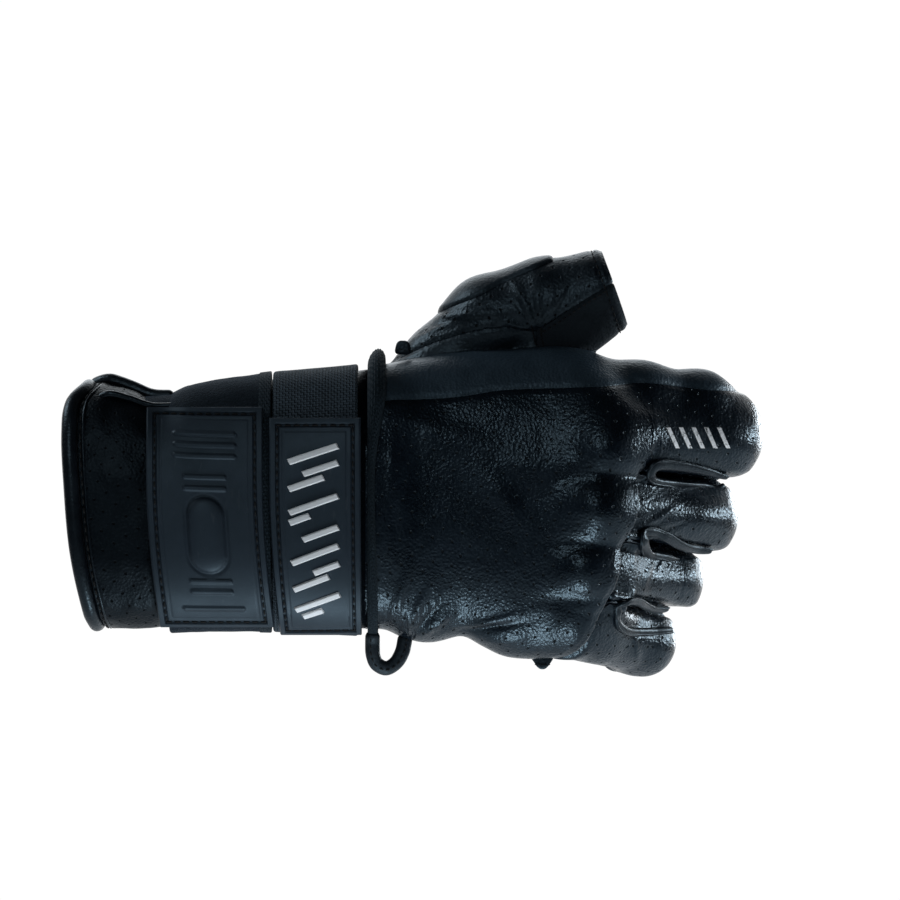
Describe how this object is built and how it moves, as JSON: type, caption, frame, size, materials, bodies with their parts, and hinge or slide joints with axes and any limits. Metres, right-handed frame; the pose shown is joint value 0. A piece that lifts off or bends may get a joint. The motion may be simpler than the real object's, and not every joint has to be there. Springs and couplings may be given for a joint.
{
  "type": "longboard slide glove",
  "caption": "Right-hand half-finger slide glove held in a half-closed form, with a strapped cuff, moulded plates on the wrist, perforated leather and open finger ends.",
  "frame": {"origin": "middle of the wrist opening, where the hand goes in", "axes": "+X along the arm from the wrist opening towards the fingers, +Z towards the thumb, +Y from the back of the hand towards the palm"},
  "size_m": [0.2186, 0.0759, 0.133],
  "materials": {
    "perforated_leather": "fine-grained blue-black leather with rows of pinholes, soft sheen",
    "cuff_leather": "padded black leather with rows of pinholes, soft sheen",
    "smooth_leather": "smooth black leather, soft sheen",
    "suede_leather": "matt black suede",
    "binding_leather": "rolled black leather edging, semi-gloss",
    "strap_velour": "black loop velour, matt",
    "elastic_webbing": "ribbed charcoal elastic webbing, matt",
    "moulded_rubber": "moulded charcoal rubber, satin"
  },
  "bodies": {
    "root": {"back_panel": "perforated_leather", "thumb_top": "perforated_leather", "index_sleeve": "perforated_leather", "middle_sleeve": "perforated_leather", "ring_sleeve": "perforated_leather", "little_sleeve": "perforated_leather", "cuff": "cuff_leather", "side_panel": "smooth_leather", "thumb_root": "smooth_leather", "thumb_guard": "smooth_leather", "thumb_tab": "smooth_leather", "edge_tab": "smooth_leather", "palm_panel": "suede_leather", "thumb_underside": "suede_leather", "cuff_binding": "binding_leather", "flap_binding": "binding_leather", "slit_binding": "binding_leather", "index_middle_piping": "binding_leather", "middle_ring_piping": "binding_leather", "ring_little_piping": "binding_leather", "pull_loop": "binding_leather", "wide_strap": "strap_velour", "elastic_strap": "elastic_webbing", "wrist_tape": "elastic_webbing", "wide_plate": "moulded_rubber", "narrow_plate": "moulded_rubber"}
  },
  "joints": []
}
